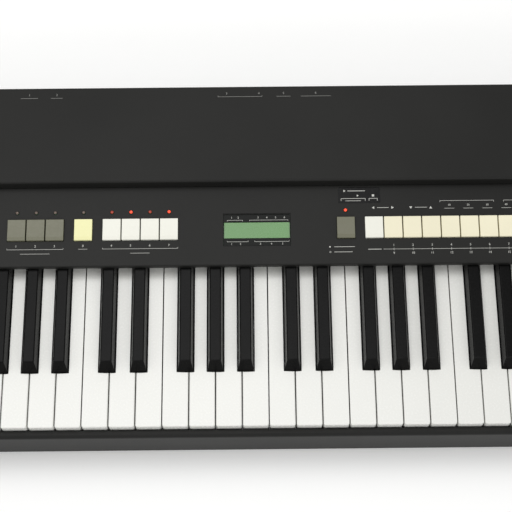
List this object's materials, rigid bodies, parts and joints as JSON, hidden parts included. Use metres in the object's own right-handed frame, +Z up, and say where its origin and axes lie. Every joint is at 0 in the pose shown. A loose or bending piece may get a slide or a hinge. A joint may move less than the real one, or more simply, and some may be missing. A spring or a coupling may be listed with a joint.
{
  "type": "portable drawbar organ",
  "caption": "Portable electronic organ with a full keyboard, drawbars, push buttons, a small display, two wheels and rear sockets in a flat black case",
  "frame": {"origin": "on the table under the middle of the case", "axes": "+X toward the high keys, +Y away from the player, +Z up"},
  "size_m": [1.07, 0.325, 0.095],
  "materials": {
    "ivory_keys": "satin moulded white",
    "ebony_keys": "satin moulded black",
    "gloss_black": "smooth moulded black",
    "case_black": "fine grain black",
    "chassis_black": "fine textured black paint",
    "zinc_steel": "zinc plated sheet",
    "circuit_green": "solder resist over glass fibre board",
    "transformer_iron": "varnished laminations",
    "window_black": "smooth black",
    "lcd_green": "green liquid crystal glass",
    "olive_button": "satin grey olive",
    "pale_yellow_button": "satin pale yellow",
    "white_button": "satin white",
    "cream_button": "satin cream",
    "brown_cap": "satin brown"
  },
  "bodies": {
    "case": {"bottom_chassis": "chassis_black", "control_panel": "chassis_black", "display_bezel": "window_black", "display_module": "lcd_green", "front_rail": "case_black", "keybed_frame": "zinc_steel", "left_cheek": "case_black", "main_board": "circuit_green", "panel_board": "circuit_green", "power_supply": "transformer_iron", "rear_deck": "chassis_black", "rear_panel": "zinc_steel", "right_cheek": "case_black", "wheel_bracket": "zinc_steel"},
    "white_keys_outer_1": {"white_keys_outer_1": "ivory_keys"},
    "white_keys_inner_1": {"white_keys_inner_1": "ivory_keys"},
    "black_keys_1": {"black_keys_1": "ebony_keys"},
    "drawbar_1": {"drawbar_1": "brown_cap"},
    "drawbar_select_button_1": {"drawbar_select_button_1": "olive_button"},
    "split_button": {"split_button": "pale_yellow_button"},
    "percussion_button_1": {"percussion_button_1": "white_button"},
    "bank_select_button": {"bank_select_button": "olive_button"},
    "preset_button_1": {"preset_button_1": "white_button"},
    "pitch_wheel": {"pitch_wheel": "case_black"},
    "modulation_wheel": {"modulation_wheel": "case_black"},
    "volume_knob": {"volume_knob": "case_black"},
    "power_rocker": {"power_rocker": "gloss_black"},
    "black_keys_2": {"black_keys_2": "ebony_keys"},
    "black_keys_3": {"black_keys_3": "ebony_keys"},
    "black_keys_4": {"black_keys_4": "ebony_keys"},
    "black_keys_5": {"black_keys_5": "ebony_keys"},
    "drawbar_2": {"drawbar_2": "brown_cap"},
    "drawbar_3": {"drawbar_3": "white_button"},
    "drawbar_4": {"drawbar_4": "white_button"},
    "drawbar_5": {"drawbar_5": "gloss_black"},
    "drawbar_6": {"drawbar_6": "white_button"},
    "drawbar_7": {"drawbar_7": "gloss_black"},
    "drawbar_8": {"drawbar_8": "gloss_black"},
    "drawbar_9": {"drawbar_9": "white_button"},
    "drawbar_select_button_2": {"drawbar_select_button_2": "olive_button"},
    "drawbar_select_button_3": {"drawbar_select_button_3": "olive_button"},
    "percussion_button_2": {"percussion_button_2": "white_button"},
    "percussion_button_3": {"percussion_button_3": "white_button"},
    "percussion_button_4": {"percussion_button_4": "white_button"},
    "preset_button_2": {"preset_button_2": "cream_button"},
    "preset_button_3": {"preset_button_3": "cream_button"},
    "preset_button_4": {"preset_button_4": "cream_button"},
    "preset_button_5": {"preset_button_5": "cream_button"},
    "preset_button_6": {"preset_button_6": "cream_button"},
    "preset_button_7": {"preset_button_7": "cream_button"},
    "preset_button_8": {"preset_button_8": "cream_button"},
    "preset_button_9": {"preset_button_9": "cream_button"},
    "white_keys_inner_2": {"white_keys_inner_2": "ivory_keys"},
    "white_keys_inner_3": {"white_keys_inner_3": "ivory_keys"},
    "white_keys_inner_4": {"white_keys_inner_4": "ivory_keys"},
    "white_keys_inner_5": {"white_keys_inner_5": "ivory_keys"},
    "white_keys_outer_2": {"white_keys_outer_2": "ivory_keys"},
    "white_keys_outer_3": {"white_keys_outer_3": "ivory_keys"},
    "white_keys_outer_4": {"white_keys_outer_4": "ivory_keys"},
    "white_keys_outer_5": {"white_keys_outer_5": "ivory_keys"}
  },
  "joints": [
    {"name": "white_keys_outer_1_press", "type": "hinge", "parent": "case", "child": "white_keys_outer_1", "pos_m": [0, 0.0451, 0.052], "axis": [1, 0, 0], "range_deg": [0, 2.86], "stiffness_Nm_per_rad": 4, "springref_deg": -5.73},
    {"name": "white_keys_inner_1_press", "type": "hinge", "parent": "case", "child": "white_keys_inner_1", "pos_m": [0, 0.0451, 0.052], "axis": [1, 0, 0], "range_deg": [0, 2.86], "stiffness_Nm_per_rad": 4, "springref_deg": -5.73},
    {"name": "black_keys_1_press", "type": "hinge", "parent": "case", "child": "black_keys_1", "pos_m": [0, 0.0451, 0.052], "axis": [1, 0, 0], "range_deg": [0, 2.86], "stiffness_Nm_per_rad": 4, "springref_deg": -5.73},
    {"name": "drawbar_1_pull", "type": "slide", "parent": "case", "child": "drawbar_1", "axis": [0, -1, 0], "range_m": [0, 0.056]},
    {"name": "drawbar_select_button_1_press", "type": "slide", "parent": "case", "child": "drawbar_select_button_1", "axis": [0, 0.0659, -0.9978], "range_m": [0, 0.002], "stiffness_N_per_m": 150, "springref_m": -0.002},
    {"name": "split_button_press", "type": "slide", "parent": "case", "child": "split_button", "axis": [0, 0.0659, -0.9978], "range_m": [0, 0.002], "stiffness_N_per_m": 150, "springref_m": -0.002},
    {"name": "percussion_button_1_press", "type": "slide", "parent": "case", "child": "percussion_button_1", "axis": [0, 0.0659, -0.9978], "range_m": [0, 0.002], "stiffness_N_per_m": 150, "springref_m": -0.002},
    {"name": "bank_select_button_press", "type": "slide", "parent": "case", "child": "bank_select_button", "axis": [0, 0.0659, -0.9978], "range_m": [0, 0.002], "stiffness_N_per_m": 150, "springref_m": -0.002},
    {"name": "preset_button_1_press", "type": "slide", "parent": "case", "child": "preset_button_1", "axis": [0, 0.0659, -0.9978], "range_m": [0, 0.002], "stiffness_N_per_m": 150, "springref_m": -0.002},
    {"name": "pitch_wheel_turn", "type": "hinge", "parent": "case", "child": "pitch_wheel", "pos_m": [-0.475, -0.0725, 0.062], "axis": [-1, 0, 0], "range_deg": [-50, 50], "stiffness_Nm_per_rad": 0.05},
    {"name": "modulation_wheel_turn", "type": "hinge", "parent": "case", "child": "modulation_wheel", "pos_m": [-0.445, -0.0725, 0.062], "axis": [-1, 0, 0], "range_deg": [0, 90]},
    {"name": "volume_knob_turn", "type": "hinge", "parent": "case", "child": "volume_knob", "pos_m": [-0.508, 0.02572, 0.08144], "axis": [0, -0.0659, 0.9978], "range_deg": [-150, 150]},
    {"name": "power_rocker_tip", "type": "hinge", "parent": "case", "child": "power_rocker", "pos_m": [0.38, 0.157, 0.058], "axis": [1, 0, 0], "range_deg": [0, 16]},
    {"name": "black_keys_2_press", "type": "hinge", "parent": "case", "child": "black_keys_2", "pos_m": [0, 0.0451, 0.052], "axis": [1, 0, 0], "range_deg": [0, 2.86], "stiffness_Nm_per_rad": 4, "springref_deg": -5.73},
    {"name": "black_keys_3_press", "type": "hinge", "parent": "case", "child": "black_keys_3", "pos_m": [0, 0.0451, 0.052], "axis": [1, 0, 0], "range_deg": [0, 2.86], "stiffness_Nm_per_rad": 4, "springref_deg": -5.73},
    {"name": "black_keys_4_press", "type": "hinge", "parent": "case", "child": "black_keys_4", "pos_m": [0, 0.0451, 0.052], "axis": [1, 0, 0], "range_deg": [0, 2.86], "stiffness_Nm_per_rad": 4, "springref_deg": -5.73},
    {"name": "black_keys_5_press", "type": "hinge", "parent": "case", "child": "black_keys_5", "pos_m": [0, 0.0451, 0.052], "axis": [1, 0, 0], "range_deg": [0, 2.86], "stiffness_Nm_per_rad": 4, "springref_deg": -5.73},
    {"name": "drawbar_2_pull", "type": "slide", "parent": "case", "child": "drawbar_2", "axis": [0, -1, 0], "range_m": [0, 0.056]},
    {"name": "drawbar_3_pull", "type": "slide", "parent": "case", "child": "drawbar_3", "axis": [0, -1, 0], "range_m": [0, 0.056]},
    {"name": "drawbar_4_pull", "type": "slide", "parent": "case", "child": "drawbar_4", "axis": [0, -1, 0], "range_m": [0, 0.056]},
    {"name": "drawbar_5_pull", "type": "slide", "parent": "case", "child": "drawbar_5", "axis": [0, -1, 0], "range_m": [0, 0.056]},
    {"name": "drawbar_6_pull", "type": "slide", "parent": "case", "child": "drawbar_6", "axis": [0, -1, 0], "range_m": [0, 0.056]},
    {"name": "drawbar_7_pull", "type": "slide", "parent": "case", "child": "drawbar_7", "axis": [0, -1, 0], "range_m": [0, 0.056]},
    {"name": "drawbar_8_pull", "type": "slide", "parent": "case", "child": "drawbar_8", "axis": [0, -1, 0], "range_m": [0, 0.056]},
    {"name": "drawbar_9_pull", "type": "slide", "parent": "case", "child": "drawbar_9", "axis": [0, -1, 0], "range_m": [0, 0.056]},
    {"name": "drawbar_select_button_2_press", "type": "slide", "parent": "case", "child": "drawbar_select_button_2", "axis": [0, 0.0659, -0.9978], "range_m": [0, 0.002], "stiffness_N_per_m": 150, "springref_m": -0.002},
    {"name": "drawbar_select_button_3_press", "type": "slide", "parent": "case", "child": "drawbar_select_button_3", "axis": [0, 0.0659, -0.9978], "range_m": [0, 0.002], "stiffness_N_per_m": 150, "springref_m": -0.002},
    {"name": "percussion_button_2_press", "type": "slide", "parent": "case", "child": "percussion_button_2", "axis": [0, 0.0659, -0.9978], "range_m": [0, 0.002], "stiffness_N_per_m": 150, "springref_m": -0.002},
    {"name": "percussion_button_3_press", "type": "slide", "parent": "case", "child": "percussion_button_3", "axis": [0, 0.0659, -0.9978], "range_m": [0, 0.002], "stiffness_N_per_m": 150, "springref_m": -0.002},
    {"name": "percussion_button_4_press", "type": "slide", "parent": "case", "child": "percussion_button_4", "axis": [0, 0.0659, -0.9978], "range_m": [0, 0.002], "stiffness_N_per_m": 150, "springref_m": -0.002},
    {"name": "preset_button_2_press", "type": "slide", "parent": "case", "child": "preset_button_2", "axis": [0, 0.0659, -0.9978], "range_m": [0, 0.002], "stiffness_N_per_m": 150, "springref_m": -0.002},
    {"name": "preset_button_3_press", "type": "slide", "parent": "case", "child": "preset_button_3", "axis": [0, 0.0659, -0.9978], "range_m": [0, 0.002], "stiffness_N_per_m": 150, "springref_m": -0.002},
    {"name": "preset_button_4_press", "type": "slide", "parent": "case", "child": "preset_button_4", "axis": [0, 0.0659, -0.9978], "range_m": [0, 0.002], "stiffness_N_per_m": 150, "springref_m": -0.002},
    {"name": "preset_button_5_press", "type": "slide", "parent": "case", "child": "preset_button_5", "axis": [0, 0.0659, -0.9978], "range_m": [0, 0.002], "stiffness_N_per_m": 150, "springref_m": -0.002},
    {"name": "preset_button_6_press", "type": "slide", "parent": "case", "child": "preset_button_6", "axis": [0, 0.0659, -0.9978], "range_m": [0, 0.002], "stiffness_N_per_m": 150, "springref_m": -0.002},
    {"name": "preset_button_7_press", "type": "slide", "parent": "case", "child": "preset_button_7", "axis": [0, 0.0659, -0.9978], "range_m": [0, 0.002], "stiffness_N_per_m": 150, "springref_m": -0.002},
    {"name": "preset_button_8_press", "type": "slide", "parent": "case", "child": "preset_button_8", "axis": [0, 0.0659, -0.9978], "range_m": [0, 0.002], "stiffness_N_per_m": 150, "springref_m": -0.002},
    {"name": "preset_button_9_press", "type": "slide", "parent": "case", "child": "preset_button_9", "axis": [0, 0.0659, -0.9978], "range_m": [0, 0.002], "stiffness_N_per_m": 150, "springref_m": -0.002},
    {"name": "white_keys_inner_2_press", "type": "hinge", "parent": "case", "child": "white_keys_inner_2", "pos_m": [0, 0.0451, 0.052], "axis": [1, 0, 0], "range_deg": [0, 2.86], "stiffness_Nm_per_rad": 4, "springref_deg": -5.73},
    {"name": "white_keys_inner_3_press", "type": "hinge", "parent": "case", "child": "white_keys_inner_3", "pos_m": [0, 0.0451, 0.052], "axis": [1, 0, 0], "range_deg": [0, 2.86], "stiffness_Nm_per_rad": 4, "springref_deg": -5.73},
    {"name": "white_keys_inner_4_press", "type": "hinge", "parent": "case", "child": "white_keys_inner_4", "pos_m": [0, 0.0451, 0.052], "axis": [1, 0, 0], "range_deg": [0, 2.86], "stiffness_Nm_per_rad": 4, "springref_deg": -5.73},
    {"name": "white_keys_inner_5_press", "type": "hinge", "parent": "case", "child": "white_keys_inner_5", "pos_m": [0, 0.0451, 0.052], "axis": [1, 0, 0], "range_deg": [0, 2.86], "stiffness_Nm_per_rad": 4, "springref_deg": -5.73},
    {"name": "white_keys_outer_2_press", "type": "hinge", "parent": "case", "child": "white_keys_outer_2", "pos_m": [0, 0.0451, 0.052], "axis": [1, 0, 0], "range_deg": [0, 2.86], "stiffness_Nm_per_rad": 4, "springref_deg": -5.73},
    {"name": "white_keys_outer_3_press", "type": "hinge", "parent": "case", "child": "white_keys_outer_3", "pos_m": [0, 0.0451, 0.052], "axis": [1, 0, 0], "range_deg": [0, 2.86], "stiffness_Nm_per_rad": 4, "springref_deg": -5.73},
    {"name": "white_keys_outer_4_press", "type": "hinge", "parent": "case", "child": "white_keys_outer_4", "pos_m": [0, 0.0451, 0.052], "axis": [1, 0, 0], "range_deg": [0, 2.86], "stiffness_Nm_per_rad": 4, "springref_deg": -5.73},
    {"name": "white_keys_outer_5_press", "type": "hinge", "parent": "case", "child": "white_keys_outer_5", "pos_m": [0, 0.0451, 0.052], "axis": [1, 0, 0], "range_deg": [0, 2.86], "stiffness_Nm_per_rad": 4, "springref_deg": -5.73}
  ]
}
